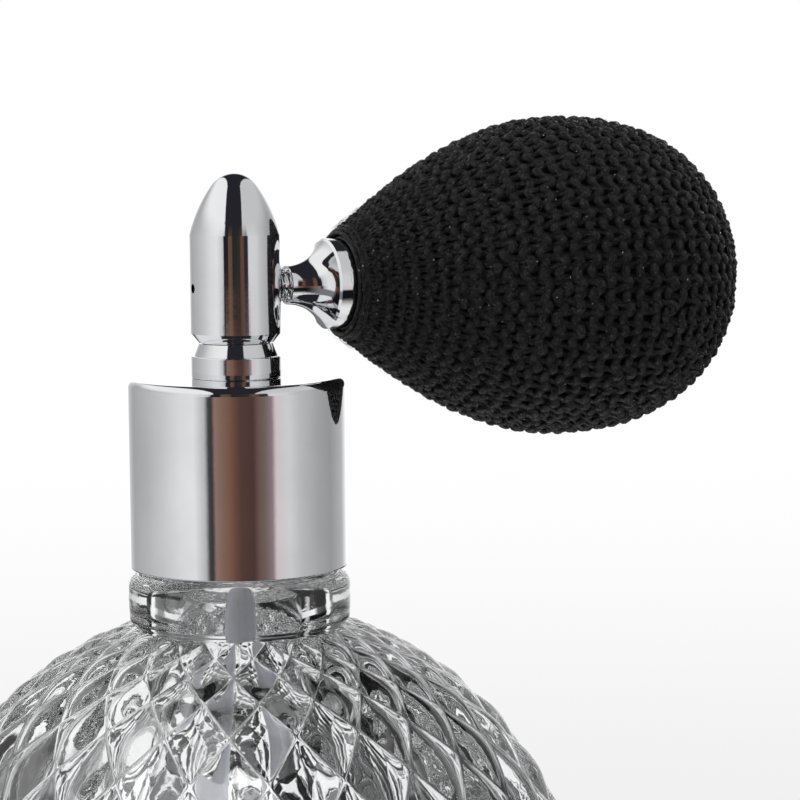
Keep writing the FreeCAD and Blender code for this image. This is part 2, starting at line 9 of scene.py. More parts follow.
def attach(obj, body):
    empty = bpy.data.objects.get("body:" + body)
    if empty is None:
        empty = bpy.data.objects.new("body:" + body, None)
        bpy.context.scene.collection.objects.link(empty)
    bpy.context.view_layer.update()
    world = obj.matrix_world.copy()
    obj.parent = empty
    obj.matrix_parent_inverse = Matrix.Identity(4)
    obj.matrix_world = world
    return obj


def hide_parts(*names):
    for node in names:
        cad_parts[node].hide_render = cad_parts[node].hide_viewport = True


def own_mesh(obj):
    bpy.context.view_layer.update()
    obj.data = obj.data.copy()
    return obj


# Perfume atomiser with a squeeze bulb. +Z is up, and the bulb points along +X. Outlines are worked
# out in millimetres and meshes are made in metres.

MM = 0.001
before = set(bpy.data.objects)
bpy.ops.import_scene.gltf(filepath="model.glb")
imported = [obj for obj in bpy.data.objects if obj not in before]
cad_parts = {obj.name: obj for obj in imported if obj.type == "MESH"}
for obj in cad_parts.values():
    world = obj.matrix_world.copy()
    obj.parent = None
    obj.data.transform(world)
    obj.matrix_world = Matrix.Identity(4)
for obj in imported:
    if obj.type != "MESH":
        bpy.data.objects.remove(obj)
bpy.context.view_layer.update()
rng = random.Random(11)


# ---- mesh helpers


def mesh_object(name, verts, faces, material, uv=None, sharp_angle=None):
    """A smooth-shaded mesh object in the frame's metres; uv holds one (u, v) for each corner."""
    mesh = bpy.data.meshes.new(name)
    mesh.from_pydata([tuple(v) for v in verts], [], faces)
    mesh.polygons.foreach_set("use_smooth", np.ones(len(mesh.polygons), bool))
    if uv is not None:
        layer = mesh.uv_layers.new(name="UVMap")
        layer.data.foreach_set("uv", np.asarray(uv, np.float32).ravel())
    if sharp_angle is not None:
        mesh.set_sharp_from_angle(angle=math.radians(sharp_angle))
    mesh.update()
    obj = bpy.data.objects.new(name, mesh)
    bpy.context.scene.collection.objects.link(obj)
    mesh.materials.append(material)
    return obj


def signed_volume(verts, faces):
    """Volume of a closed shape, negative when its faces point inwards."""
    total = 0.0
    for face in faces:
        a = verts[face[0]]
        for k in range(1, len(face) - 1):
            total += float(np.dot(a, np.cross(verts[face[k]], verts[face[k + 1]])))
    return total / 6


def outward(verts, faces):
    """The faces turned so that the closed shape's normals point out."""
    verts = np.asarray(verts, float)
    if signed_volume(verts, faces) < 0:
        return [tuple(reversed(face)) for face in faces]
    return faces


def lathe_mesh(profile, columns, axis="Z", shape=None):
    """(verts, faces) of a profile of (radius, height) turned about Z or X.

    A point on the axis becomes one vertex. shape(radius, height, angle) may change the radius.
    """
    verts, rows, faces = [], [], []
    for radius, height in profile:
        if radius <= 1e-9:
            rows.append([len(verts)] * columns)
            verts.append((0.0, 0.0, height))
            continue
        first = len(verts)
        rows.append([first + k for k in range(columns)])
        for k in range(columns):
            angle = 2 * math.pi * k / columns
            r = shape(radius, height, angle) if shape else radius
            verts.append((r * math.cos(angle), r * math.sin(angle), height))
    for low, high in zip(rows, rows[1:]):
        for k in range(columns):
            n = (k + 1) % columns
            face = []
            for index in (low[k], low[n], high[n], high[k]):
                if index not in face:
                    face.append(index)
            if len(face) > 2:
                faces.append(tuple(face))
    verts = np.array(verts)
    if axis == "X":
        verts = np.stack([verts[:, 2], verts[:, 0], verts[:, 1]], 1)
    return verts, faces


# ---- material helpers

MIX_FACTOR, MIX_FIRST, MIX_SECOND, MIX_COLOUR = 0, 6, 7, 2  # sockets of a Mix node set to colours


def new_material(name):
    """(material, tree, shader) of a material with only a Principled shader."""
    material = bpy.data.materials.new(name)
    material.use_nodes = True
    tree = material.node_tree
    tree.nodes.clear()
    output = tree.nodes.new("ShaderNodeOutputMaterial")
    shader = tree.nodes.new("ShaderNodeBsdfPrincipled")
    tree.links.new(shader.outputs["BSDF"], output.inputs["Surface"])
    return material, tree, shader


def add_node(tree, kind, inputs=None, **settings):
    """A node with its settings made and its inputs set to values or linked to outputs."""
    node = tree.nodes.new(kind)
    for key, value in settings.items():
        setattr(node, key, value)
    for key, value in (inputs or {}).items():
        if isinstance(value, bpy.types.NodeSocket):
            tree.links.new(value, node.inputs[key])
        else:
            node.inputs[key].default_value = value
    return node


def stretched(tree, source, scale):
    """Coordinates scaled apart along their three axes."""
    node = add_node(tree, "ShaderNodeMapping", {"Vector": source, "Scale": scale})
    return node.outputs["Vector"]


def object_space(tree):
    return add_node(tree, "ShaderNodeTexCoord").outputs["Object"]


def noise(tree, vector, scale, detail=3.0, roughness=0.5, distortion=0.0):
    node = add_node(tree, "ShaderNodeTexNoise", {
        "Vector": vector, "Scale": scale, "Detail": detail,
        "Roughness": roughness, "Distortion": distortion})
    return node.outputs["Fac"]


def remap(tree, value, low, high, out_low=0.0, out_high=1.0, kind="LINEAR"):
    """The value moved from one range to another, and held at that range's ends."""
    node = add_node(tree, "ShaderNodeMapRange", {
        "Value": value, "From Min": low, "From Max": high,
        "To Min": out_low, "To Max": out_high}, interpolation_type=kind)
    return node.outputs["Result"]


def smooth_map(tree, value, low, high, out_low=0.0, out_high=1.0):
    return remap(tree, value, low, high, out_low, out_high, "SMOOTHSTEP")


def blend_colours(tree, factor, first, second):
    node = tree.nodes.new("ShaderNodeMix")
    node.data_type = "RGBA"
    for key, value in ((MIX_FACTOR, factor), (MIX_FIRST, first), (MIX_SECOND, second)):
        if isinstance(value, bpy.types.NodeSocket):
            tree.links.new(value, node.inputs[key])
        else:
            node.inputs[key].default_value = value
    return node.outputs[MIX_COLOUR]


def bump(tree, height, distance, strength=1.0, normal=None):
    inputs = {"Height": height, "Distance": distance, "Strength": strength}
    if normal is not None:
        inputs["Normal"] = normal
    return add_node(tree, "ShaderNodeBump", inputs).outputs["Normal"]


def grey(tree, level):
    """A colour with the same level in red, green and blue."""
    node = add_node(tree, "ShaderNodeCombineColor", {"Red": level, "Green": level, "Blue": level})
    return node.outputs["Color"]


def maths(tree, operation, first, second=0.0):
    node = add_node(tree, "ShaderNodeMath", operation=operation)
    for index, value in enumerate((first, second)):
        if isinstance(value, bpy.types.NodeSocket):
            tree.links.new(value, node.inputs[index])
        else:
            node.inputs[index].default_value = value
    return node.outputs[0]


# ---- materials


def chrome_look(name, tint=(0.86, 0.865, 0.88), rough=0.035):
    """Plated metal: mirror with a faint haze, wipe marks and hairline scratches."""
    material, tree, shader = new_material(name)
    place = object_space(tree)
    haze = noise(tree, place, 90.0, 4.0, 0.6)
    bright = tuple(min(c * 1.03, 1.0) for c in tint) + (1.0,)
    dull = tuple(c * 0.95 for c in tint) + (1.0,)
    colour = blend_colours(tree, remap(tree, haze, 0.35, 0.65), dull, bright)
    tree.links.new(colour, shader.inputs["Base Color"])
    smudge = noise(tree, stretched(tree, place, (1.0, 1.0, 0.35)), 260.0, 5.0, 0.65)
    tree.links.new(remap(tree, smudge, 0.4, 0.75, rough * 0.6, rough * 2.2),
                   shader.inputs["Roughness"])
    hairs = noise(tree, stretched(tree, place, (900.0, 900.0, 14.0)), 1.0, 2.0, 0.5, 0.6)
    fine = remap(tree, hairs, 0.70, 0.76)
    sway = noise(tree, place, 120.0, 2.0, 0.5)
    peel = noise(tree, place, 1500.0, 2.0, 0.5)
    normal = bump(tree, sway, 0.00006, 0.3)
    normal = bump(tree, peel, 0.0000035, 0.5, normal)
    normal = bump(tree, fine, 0.000004, 0.3, normal)
    tree.links.new(normal, shader.inputs["Normal"])
    shader.inputs["Metallic"].default_value = 1.0
    return material


def plain_look(name, colour, rough, metallic=0.0, grain=400.0, depth=0.00001, spread=0.06):
    """A moulded, turned or rubber surface with mottled colour, gloss and fine grain."""
    material, tree, shader = new_material(name)
    place = object_space(tree)
    mottle = noise(tree, place, grain * 0.4, 4.0, 0.6)
    light = tuple(min(c * (1 + spread), 1.0) for c in colour) + (1.0,)
    dark = tuple(c * (1 - spread) for c in colour) + (1.0,)
    tree.links.new(blend_colours(tree, mottle, dark, light), shader.inputs["Base Color"])
    gloss = noise(tree, place, grain * 1.3, 3.0, 0.55)
    tree.links.new(remap(tree, gloss, 0.3, 0.7, rough * 0.85, min(rough * 1.15, 1.0)),
                   shader.inputs["Roughness"])
    tree.links.new(bump(tree, noise(tree, place, grain * 3.0, 3.0), depth, 0.6),
                   shader.inputs["Normal"])
    shader.inputs["Metallic"].default_value = metallic
    return material


def glass_look():
    """Pressed clear glass: slight flow waves and a hint of haze in places."""
    material, tree, shader = new_material("pressed_glass")
    place = object_space(tree)
    tone = noise(tree, place, 40.0, 2.0)
    colour = blend_colours(tree, tone, (0.975, 0.985, 0.985, 1.0), (0.995, 1.0, 1.0, 1.0))
    tree.links.new(colour, shader.inputs["Base Color"])
    haze = noise(tree, place, 150.0, 4.0, 0.6)
    tree.links.new(remap(tree, haze, 0.45, 0.8, 0.0, 0.02), shader.inputs["Roughness"])
    flow = noise(tree, place, 230.0, 2.0, 0.5, 0.8)
    ripple = noise(tree, stretched(tree, place, (1.0, 1.0, 2.2)), 620.0, 2.0, 0.5, 1.2)
    normal = bump(tree, flow, 0.0002, 0.22)
    tree.links.new(bump(tree, ripple, 0.00002, 0.2, normal), shader.inputs["Normal"])
    shader.inputs["Transmission Weight"].default_value = 1.0
    shader.inputs["IOR"].default_value = 1.5
    return material


def tube_look():
    """Milky polythene tube: light passes and shapes don't, with fine draw lines along it."""
    material, tree, shader = new_material("milky_polythene")
    place = object_space(tree)
    cloud = noise(tree, place, 120.0, 3.0)
    colour = blend_colours(tree, cloud, (0.95, 0.92, 0.85, 1.0), (0.99, 0.965, 0.91, 1.0))
    tree.links.new(colour, shader.inputs["Base Color"])
    draw = noise(tree, stretched(tree, place, (1.0, 1.0, 0.05)), 2600.0, 2.0)
    tree.links.new(remap(tree, draw, 0.3, 0.7, 0.22, 0.38), shader.inputs["Roughness"])
    tree.links.new(bump(tree, draw, 0.00001, 0.5), shader.inputs["Normal"])
    shader.inputs["Subsurface Weight"].default_value = 0.8
    shader.inputs["Subsurface Radius"].default_value = (0.004, 0.0035, 0.0025)
    shader.inputs["Subsurface Scale"].default_value = 1.0
    shader.inputs["IOR"].default_value = 1.45
    return material


def yarn_look():
    """Black polyester yarn: parallel filaments with a broken sheen along them, partly from their changing
    gloss and partly painted as lighter filaments in its colour, and a few glints painted as pale specks in
    its colour.
    """
    material, tree, shader = new_material("black_yarn")
    uv = add_node(tree, "ShaderNodeUVMap", uv_map="UVMap").outputs["UV"]
    filament = noise(tree, stretched(tree, uv, (0.8, 10.0, 1.0)), 1.0, 4.0, 0.66, 0.6)
    place = object_space(tree)
    patch = noise(tree, place, 900.0, 3.0, 0.6)
    # painted glints: small spots where the yarn's colour is lightened to pale grey, standing in for
    # highlights
    painted_glint = remap(tree, noise(tree, place, 5200.0, 1.0, 0.5), 0.66, 0.74)
    # filament tone: stripes along the yarn run from near black to dark grey, and the lighter stripes are a
    # painted sheen that matches the glossier roughness set below
    filament_tone_and_painted_sheen = remap(tree, filament, 0.42, 0.62)
    colour = blend_colours(tree, filament_tone_and_painted_sheen, (0.0004, 0.0004, 0.0005, 1.0),
                           (0.011, 0.0105, 0.011, 1.0))
    colour = blend_colours(tree, remap(tree, patch, 0.4, 0.7, 0.0, 0.75), colour,
                           (0.002, 0.002, 0.0022, 1.0))
    colour = blend_colours(tree, maths(tree, "MULTIPLY", painted_glint, 0.6), colour,
                           (0.11, 0.11, 0.115, 1.0))
    tree.links.new(colour, shader.inputs["Base Color"])
    tree.links.new(remap(tree, filament, 0.4, 0.62, 0.6, 0.2), shader.inputs["Roughness"])
    normal = bump(tree, filament, 0.0003, 1.0)
    tree.links.new(bump(tree, patch, 0.00012, 0.5, normal), shader.inputs["Normal"])
    shader.inputs["Specular IOR Level"].default_value = 0.43
    shader.inputs["Sheen Weight"].default_value = 0.03
    shader.inputs["Sheen Roughness"].default_value = 0.35
    return material


CHROME = chrome_look("plated_chrome")
THREAD_CHROME = chrome_look("plated_thread", rough=0.09)
GLASS = glass_look()
TUBE = tube_look()
YARN = yarn_look()
FUZZ = plain_look("loose_fibre", (0.07, 0.068, 0.068), 0.55, grain=900.0)
DUST = plain_look("dust_speck", (0.55, 0.54, 0.52), 0.85, grain=2000.0)
RUBBER = plain_look("bulb_rubber", (0.03, 0.03, 0.032), 0.7, grain=300.0,
                    depth=0.00004, spread=0.3)
SEAL = plain_look("seal_rubber", (0.33, 0.34, 0.35), 0.6, grain=350.0,
                  depth=0.00002, spread=0.1)
WHITE = plain_look("moulded_white", (0.78, 0.78, 0.76), 0.38, grain=300.0, spread=0.04)
BRASS = plain_look("turned_brass", (0.72, 0.5, 0.2), 0.24, 1.0, grain=700.0, spread=0.12)
STEEL = plain_look("plain_steel_look", (0.56, 0.56, 0.58), 0.3, 1.0, grain=700.0, spread=0.1)

NODE_LOOKS = {
    "neck_gasket": SEAL, "collar_shell": CHROME, "collar_insert": WHITE, "head_base": CHROME,
    "stem_washer": STEEL, "stem_nut": BRASS, "head_shell": CHROME, "spray_core": WHITE,
    "liquid_jet": STEEL, "nozzle_insert": BRASS, "thread_bush": BRASS, "stem_o_ring": RUBBER,
    "swivel_clip": STEEL, "dip_tube": TUBE, "connector_seal": RUBBER, "bulb_ferrule": CHROME,
    "bulb_plug": BRASS, "outlet_valve_seat": WHITE, "outlet_valve_disc": SEAL,
    "intake_valve_body": BRASS, "intake_valve_cage": WHITE, "intake_valve_disc": SEAL,
}
for node_name, look in NODE_LOOKS.items():
    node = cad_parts[node_name]
    node.data.materials.clear()
    node.data.materials.append(look)


# ---- glass bottle in millimetres: pressed diamonds on the ball, plain ring, threaded neck

BALL_R, BALL_Z = 41.7, 33.0
CELLS_ROUND, CELL_STEPS = 22, 12
COLUMNS = CELLS_ROUND * CELL_STEPS
ROW_SCALE = 2.35
TOP_LATITUDE = math.radians(72.6)
GROOVE_DEPTH, GROOVE_SHARE = 1.25, 0.115
FOOT_Z, FOOT_FADE_Z, FOOT_FADE = 0.5, 1.5, 7.0
CAVITY_R, FLOOR_Z, BORE_R = 33.0, 7.0, 7.3
NECK_R, NECK_LOW, NECK_HIGH, RIM_Z = 9.42, 79.75, 95.4, 96.5
PITCH, THREAD_TURNS, THREAD_TOP = 3.175, 1.35, 92.6
BEAD_HALF, BEAD_HEIGHT, BEAD_FADE = 0.95, 0.8, 0.06
PUNT_Z = 1.15
FOOT_PROFILE = ((25.2, 0.12), (24.5, 0.0), (21.0, 0.0), (19.8, 0.12), (18.6, 0.55),
                (16.0, 0.9), (8.0, 1.1), (2.0, PUNT_Z))


def mercator(latitude):
    return math.log(math.tan(math.pi / 4 + latitude / 2))


def ball_latitude(row):
    """Latitude on the ball of a row of crossings, counted down from the neck ring."""
    return 2 * math.atan(math.exp(mercator(TOP_LATITUDE) - row / ROW_SCALE)) - math.pi / 2


def pillow(row, turn):
    """0 in the grooves between the diamonds, 1 on the top of a diamond."""
    height = 1.0
    for line in (turn + row, turn - row):
        part = abs(line - round(line)) * 2
        height *= part * (2 - part)
    return height


def crowded(line):
    """A groove coordinate moved so that mesh edges lie closer together near the grooves."""
    return line - 0.62 * math.sin(2 * math.pi * line) / (2 * math.pi)


def groove_depth(row, latitude):
    """Depth of the grooves: shallower where the diamonds are small, at the ring and at the foot."""
    width = 2 * math.pi * BALL_R * math.cos(latitude) / CELLS_ROUND
    height = BALL_Z + BALL_R * math.sin(latitude)
    at_foot = min(1.0, max(0.0, (height - FOOT_FADE_Z) / FOOT_FADE))
    at_ring = 0.4 + 0.6 * min(1.0, row / 0.35)
    return min(GROOVE_DEPTH, GROOVE_SHARE * width) * at_foot * at_ring


def ball_point(line_up, line_down):
    """Point in metres where a rising and a falling groove coordinate cross."""
    rising, falling = crowded(line_up), crowded(line_down)
    row, turn = (rising - falling) / 2, (rising + falling) / 2
    latitude = ball_latitude(row)
    angle = turn / CELLS_ROUND * 2 * math.pi
    r = BALL_R - groove_depth(row, latitude) * (1 - pillow(row, turn))
    return (r * math.cos(latitude) * math.cos(angle) * MM,
            r * math.cos(latitude) * math.sin(angle) * MM,
            (BALL_Z + r * math.sin(latitude)) * MM)


def neck_bead(height, angle):
    """0 to 1 across the thread's bead, which fades in and out at its two ends."""
    best = 0.0
    for lap in range(math.ceil(THREAD_TURNS) + 1):
        path = angle / (2 * math.pi) + lap
        if path > THREAD_TURNS:
            continue
        gap = abs(height - THREAD_TOP + path * PITCH) / BEAD_HALF
        if gap < 1:
            ends = min(path, THREAD_TURNS - path) / BEAD_FADE
            best = max(best, min(1.0, ends) * (1 - gap * gap) ** 0.75)
    return best


def neck_radius(radius, height, angle):
    return radius + BEAD_HEIGHT * neck_bead(height, angle)


def cavity_profile():
    """(radius, height) from the cavity's floor up the inside to the rim."""
    points = [(2.0, FLOOR_Z), (8.0, FLOOR_Z + 0.02), (15.0, FLOOR_Z + 0.1), (18.2, FLOOR_Z + 0.5)]
    start = math.degrees(math.asin((FLOOR_Z + 2.2 - BALL_Z) / CAVITY_R))
    end = math.degrees(math.acos(BORE_R / CAVITY_R)) - 3.0
    steps = 29
    for step in range(steps + 1):
        latitude = math.radians(start + (end - start) * step / steps)
        points.append((CAVITY_R * math.cos(latitude), BALL_Z + CAVITY_R * math.sin(latitude)))
    points += [(7.9, 65.6), (7.42, 66.8)]
    points += [(BORE_R, height) for height in (68.4, 76.0, 84.0, 95.6)]
    return points + [(7.5, 96.2), (7.95, RIM_Z)]


def neck_profile():
    """(radius, height) down the outside of the neck, without its bead."""
    steps = 78
    return [(NECK_R, NECK_HIGH - (NECK_HIGH - NECK_LOW) * step / steps) for step in range(steps + 1)]


def plain_ring_profile():
    """(radius, height) of the ring under the collar, from the neck down to the ball."""
    points = [(9.5, 79.35), (9.75, 79.15), (10.3, 79.08), (11.2, 79.05)]
    for step in range(9):
        angle = math.radians(90 - step / 8 * 90)
        points.append((11.45 + 1.7 * math.cos(angle), 77.35 + 1.7 * math.sin(angle)))
    points += [(13.17, 76.6), (13.17, 75.8), (13.15, 75.0), (13.1, 74.3)]
    for step in range(1, 6):
        angle = math.radians(-step / 5 * 80)
        points.append((12.45 + 0.65 * math.cos(angle), 73.85 + 0.8 * math.sin(angle)))
    return points


def last_ball_row():
    """The even row of mesh points where the ball reaches its foot."""
    last = CELL_STEPS * 2
    while math.sin(ball_latitude(last / (2 * CELL_STEPS))) * BALL_R + BALL_Z > FOOT_Z + 0.6:
        last += 2
    return last


def make_bottle():
    verts, faces = [], []

    def ring_of(radius, height, shape=None):
        first = len(verts)
        for k in range(COLUMNS):
            angle = 2 * math.pi * k / COLUMNS
            r = shape(radius, height, angle) if shape else radius
            verts.append((r * math.cos(angle) * MM, r * math.sin(angle) * MM, height * MM))
        return [first + k for k in range(COLUMNS)]

    def join(rows):
        for low, high in zip(rows, rows[1:]):
            for k in range(COLUMNS):
                n = (k + 1) % COLUMNS
                faces.append((low[k], low[n], high[n], high[k]))

    def close(row, height):
        centre = len(verts)
        verts.append((0.0, 0.0, height * MM))
        for k in range(COLUMNS):
            faces.append((centre, row[k], row[(k + 1) % COLUMNS]))

    # inside, then over the rim, down the neck and round the plain ring
    rows = [ring_of(r, z) for r, z in cavity_profile()]
    close(rows[0][::-1], FLOOR_Z)
    rows += [ring_of(r, z) for r, z in ((9.0, RIM_Z), (9.3, 96.3), (NECK_R, 95.9))]
    rows += [ring_of(r, z, neck_radius) for r, z in neck_profile()]
    rows += [ring_of(r, z) for r, z in plain_ring_profile()]
    join(rows)

    # the ball: rows of points staggered so that mesh edges run along both sets of grooves
    last = last_ball_row()
    ball_rows = []
    for j in range(last + 1):
        first = len(verts)
        for k in range(COLUMNS):
            across = 2 * k + j % 2
            verts.append(ball_point((across + j) / (2 * CELL_STEPS), (across - j) / (2 * CELL_STEPS)))
        ball_rows.append([first + k for k in range(COLUMNS)])
    join([rows[-1], ball_rows[0]])

    def at(j, k):
        """Vertex of row j at half-column k; k has the row's parity."""
        return ball_rows[j][((k - j % 2) // 2) % COLUMNS]

    for k in range(0, 2 * COLUMNS, 2):
        faces.append((at(0, k), at(0, k + 2), at(1, k + 1)))
        faces.append((at(last, k), at(last - 1, k + 1), at(last, k + 2)))
    for j in range(last - 1):
        for k in range(j % 2, 2 * COLUMNS, 2):
            faces.append((at(j, k), at(j + 1, k + 1), at(j + 2, k), at(j + 1, k - 1)))

    # foot ring and a shallow punt
    foot_rows = [ball_rows[-1]] + [ring_of(r, z) for r, z in FOOT_PROFILE]
    join(foot_rows)
    close(foot_rows[-1], PUNT_Z)
    return verts, faces


bottle_verts, bottle_faces = make_bottle()
bottle_faces = outward(bottle_verts, bottle_faces)
bottle = mesh_object("diamond_bottle", bottle_verts, bottle_faces, GLASS, sharp_angle=60)
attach(bottle, "bottle")
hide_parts("glass_bottle")


# ---- hollow screw between head and bulb, with its real helical thread

AXIS_Z = 112.63
SCREW_START, SCREW_END, SCREW_PITCH = 1.5, 12.9, 0.7
CREST_R, ROOT_R, END_R, SCREW_BORE_R = 2.0, 1.57, 1.4, 0.9
THREAD_RUNOUT = 0.4


def on_bulb_axis(points):
    """Points in millimetres about the X axis as points in metres about the bulb's axis."""
    return np.asarray(points) * MM + np.array((0.0, 0.0, AXIS_Z * MM))


def thread_radius(radius, x, angle):
    """Radius of the screw: the crest's points follow the helix, and the others stay."""
    if radius != CREST_R:
        return radius
    phase = (x / SCREW_PITCH - angle / (2 * math.pi)) % 1.0
    tooth = abs(phase - 0.5) * 2
    lift = min(1.0, max(0.0, (tooth - 0.12) / 0.72))
    ends = min((x - SCREW_START) / THREAD_RUNOUT, (SCREW_END - x) / THREAD_RUNOUT, 1.0)
    return ROOT_R + (CREST_R - ROOT_R) * lift * max(ends, 0.0)


def make_screw():
    columns, steps_per_pitch = 64, 8
    length = SCREW_END - SCREW_START
    steps = int(length / SCREW_PITCH * steps_per_pitch)
    profile = [(SCREW_BORE_R, SCREW_START), (END_R, SCREW_START)]
    profile += [(CREST_R, SCREW_START + length * step / steps) for step in range(steps + 1)]
    profile += [(END_R, SCREW_END), (SCREW_BORE_R, SCREW_END), (SCREW_BORE_R, SCREW_START)]
    verts, faces = lathe_mesh(profile, columns, "X", thread_radius)
    return on_bulb_axis(verts), outward(verts, faces)


screw_verts, screw_faces = make_screw()
screw = mesh_object("threaded_air_screw", screw_verts, screw_faces, THREAD_CHROME, sharp_angle=50)
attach(screw, "bulb")
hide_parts("air_connector")


# ---- rubber bulb under the cover

COVER_START, COVER_TAIL, CROWN = 13.1, 64.2, 42.5
FRONT_POWER, BACK_POWER = 1.03, 2.33
MOUTH_R, MOUTH_X = 3.05, 11.9
SEAM_HEIGHT, SEAM_WIDTH = 0.0035, 0.02


def egg_radius(x, start, tail, start_radius, radius):
    """Radius of the egg at x: a power of a sine before the crown, a superellipse behind it."""
    if x <= CROWN:
        part = max(0.0, (x - start) / (CROWN - start))
        return start_radius + (radius - start_radius) * math.sin(part * math.pi / 2) ** FRONT_POWER
    part = min(1.0, (x - CROWN) / (tail - CROWN))
    return radius * (1 - part ** BACK_POWER) ** (1 / BACK_POWER)


def eased_places(start, end, count):
    """Places from start to end, closer together at both ends."""
    return [start + (end - start) * (1 - math.cos(step / count * math.pi)) / 2
            for step in range(count + 1)]


def egg_profile(start, tail, start_radius, radius, count):
    """(radius, x) points, dense where the outline turns."""
    points = [(egg_radius(x, start, tail, start_radius, radius), x)
              for x in eased_places(start, tail, count)]
    points[-1] = (0.0, tail)
    return points


def seam_radius(radius, _, angle):
    """The rubber's radius with the mould's parting line along both sides."""
    return radius * (1 + SEAM_HEIGHT * math.exp(-(math.sin(angle) / SEAM_WIDTH) ** 2))


def make_rubber():
    neck = [(MOUTH_R, MOUTH_X), (4.5, MOUTH_X), (4.75, 12.1), (4.78, 13.3)]
    outer = neck + egg_profile(13.45, 63.2, 5.5, 18.2, 70)
    inner = egg_profile(16.0, 61.4, 3.4, 16.4, 60)
    hollow = list(reversed(inner)) + [(MOUTH_R, 15.0), (MOUTH_R, MOUTH_X)]
    verts, faces = lathe_mesh(outer + hollow, 128, "X", seam_radius)
    return on_bulb_axis(verts), outward(verts, faces)


rubber_verts, rubber_faces = make_rubber()
rubber = mesh_object("moulded_rubber_bulb", rubber_verts, rubber_faces, RUBBER, sharp_angle=50)
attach(rubber, "bulb")
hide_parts("rubber_bulb")


# ---- knitted cover: yarn loops laid course by course round the bulb, in millimetres

STITCHES = 42
YARN_WIDTH, YARN_THICK, YARN_LEAST = 1.08, 0.62, 0.36
COURSE, FIRST_COURSE = 2.0, 1.8
LOOP_STEPS, YARN_SIDES = 16, 8
COVER_EDGE_R, COVER_CROWN_R, COVER_OVERHANG = 6.0, 19.1, 0.25
HEM_STEPS = 220
HEM_ROUNDS = ((0.3, -0.1, 0.62), (0.82, 0.06, 0.6), (1.35, 0.0, 0.55))  # place, lift, yarn size
KNIT_PIECES = 3


def cover_meridian(count=600):
    """Arc length, x and radius along the cover's middle surface."""
    tail = COVER_TAIL + COVER_OVERHANG
    xs = np.array(eased_places(COVER_START, tail, count))
    rs = np.array([egg_radius(x, COVER_START, tail, COVER_EDGE_R, COVER_CROWN_R) for x in xs])
    lengths = np.concatenate([[0], np.cumsum(np.hypot(np.diff(xs), np.diff(rs)))])
    return lengths, xs, rs


LENGTHS, MERIDIAN_X, MERIDIAN_R = cover_meridian()
COVER_LENGTH = LENGTHS[-1]


def on_cover(s):
    """(x, radius, tangent x, tangent r) at an arc length along the cover."""
    s = np.clip(s, 0, COVER_LENGTH)
    x = np.interp(s, LENGTHS, MERIDIAN_X)
    r = np.interp(s, LENGTHS, MERIDIAN_R)
    step = 0.25
    ahead, behind = np.clip(s + step, 0, COVER_LENGTH), np.clip(s - step, 0, COVER_LENGTH)
    tx = np.interp(ahead, LENGTHS, MERIDIAN_X) - np.interp(behind, LENGTHS, MERIDIAN_X)
    tr = np.interp(ahead, LENGTHS, MERIDIAN_R) - np.interp(behind, LENGTHS, MERIDIAN_R)
    norm = np.hypot(tx, tr) + 1e-12
    return x, r, tx / norm, tr / norm


def course_places():
    """Arc lengths of the courses: closer near the neck, where the cover is gathered."""
    places, s = [], FIRST_COURSE
    while s < COVER_LENGTH - 1.0:
        places.append(s)
        r = float(np.interp(s, LENGTHS, MERIDIAN_R))
        opened = min(1.0, max(0.0, (r - 5.0) / 9.0)) if s < COVER_LENGTH / 2 else 1.0
        s += COURSE * (0.62 + 0.38 * opened)
    return places


def yarn_tube(points, widths, thick, normals):
    """(verts, faces, uv) of a closed round of flattened yarn, its flat side along normals."""
    count = len(points)
    tangent = np.roll(points, -1, 0) - np.roll(points, 1, 0)
    tangent /= np.linalg.norm(tangent, axis=1, keepdims=True)
    side = np.cross(tangent, normals)
    side /= np.linalg.norm(side, axis=1, keepdims=True)
    up = np.cross(side, tangent)
    angles = np.linspace(0, 2 * math.pi, YARN_SIDES, endpoint=False)
    offsets = (np.cos(angles)[None, :, None] * side[:, None, :] * (widths / 2)[:, None, None]
               + np.sin(angles)[None, :, None] * up[:, None, :] * (thick / 2)[:, None, None])
    verts = (points[:, None, :] + offsets).reshape(-1, 3)
    lengths = np.concatenate([[0], np.cumsum(np.linalg.norm(np.diff(points, axis=0), axis=1))])
    faces, uv = [], []
    for i in range(count):
        n = (i + 1) % count
        u0 = lengths[i]
        u1 = lengths[n] if n else u0 + lengths[1]
        for k in range(YARN_SIDES):
            m = (k + 1) % YARN_SIDES
            faces.append((i * YARN_SIDES + k, i * YARN_SIDES + m,
                          n * YARN_SIDES + m, n * YARN_SIDES + k))
            v0, v1 = k / YARN_SIDES, (k + 1) / YARN_SIDES
            uv += [(u0, v0), (u0, v1), (u1, v1), (u1, v0)]
    return verts, faces, uv


def stitches_at(place, radius):
    """Loops in a course: fewer where the cover closes at its tail."""
    if place <= COVER_LENGTH / 2:
        return STITCHES
    if radius < 3.6:
        return STITCHES // 4
    return STITCHES // 2 if radius < 8.5 else STITCHES


